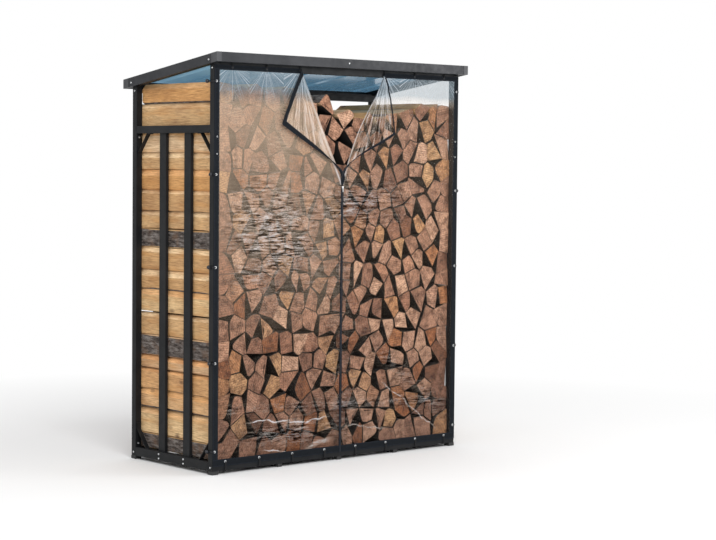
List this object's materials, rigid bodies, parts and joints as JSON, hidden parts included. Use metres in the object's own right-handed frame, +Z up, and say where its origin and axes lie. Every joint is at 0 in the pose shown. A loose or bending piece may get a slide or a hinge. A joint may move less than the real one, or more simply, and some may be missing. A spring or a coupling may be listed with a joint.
{
  "type": "covered log store",
  "caption": "Tall steel log store with a sloping metal roof, slatted sides, a clear zipped front cover and a full stack of split firewood.",
  "frame": {"origin": "on the ground in the middle of the roof's outline", "axes": "+X to the right along the front, +Y from the front to the back, +Z up"},
  "size_m": [1.5124, 0.7144, 1.8502],
  "materials": {
    "coated_frame": "anthracite powder coat, satin",
    "roof_trim": "anthracite coated folded sheet, satin",
    "roof_sheet": "grey-blue coated sheet, glossy underneath",
    "foot_cap": "black moulded plastic",
    "clear_film": "clear soft film, glossy, creased",
    "navy_band": "dark navy woven tape, sewn on",
    "toggle": "black plastic ball on black elastic",
    "firewood": "rough split wood with bark"
  },
  "bodies": {
    "root": {"back_bottom_rail": "coated_frame", "back_left_post": "coated_frame", "back_right_post": "coated_frame", "back_roof_rail": "coated_frame", "back_roof_trim": "roof_trim", "back_top_beam": "coated_frame", "corner_feet": "foot_cap", "cover_flap_edges": "navy_band", "cover_left_flap": "clear_film", "cover_left_hems": "navy_band", "cover_left_panel": "clear_film", "cover_right_flap": "clear_film", "cover_right_hems": "navy_band", "cover_right_panel": "clear_film", "cover_zip": "navy_band", "firewood_layer_1": "firewood", "firewood_layer_2": "firewood", "firewood_layer_3": "firewood", "firewood_layer_4": "firewood", "firewood_layer_5": "firewood", "floor_bearers": "coated_frame", "front_bottom_rail": "coated_frame", "front_left_post": "coated_frame", "front_right_post": "coated_frame", "front_roof_rail": "coated_frame", "front_roof_trim": "roof_trim", "front_top_beam": "coated_frame", "left_bottom_rail": "coated_frame", "left_corner_braces": "coated_frame", "left_mid_rail": "coated_frame", "left_rafter": "coated_frame", "left_roof_trim": "roof_trim", "left_slats": "coated_frame", "left_toggles": "toggle", "middle_feet": "foot_cap", "right_bottom_rail": "coated_frame", "right_corner_braces": "coated_frame", "right_mid_rail": "coated_frame", "right_rafter": "coated_frame", "right_roof_trim": "roof_trim", "right_slats": "coated_frame", "right_toggles": "toggle", "roof_corner_caps": "roof_trim", "roof_sheet_1": "roof_sheet", "roof_sheet_2": "roof_sheet", "roof_sheet_3": "roof_sheet", "roof_sheet_4": "roof_sheet"}
  },
  "joints": []
}
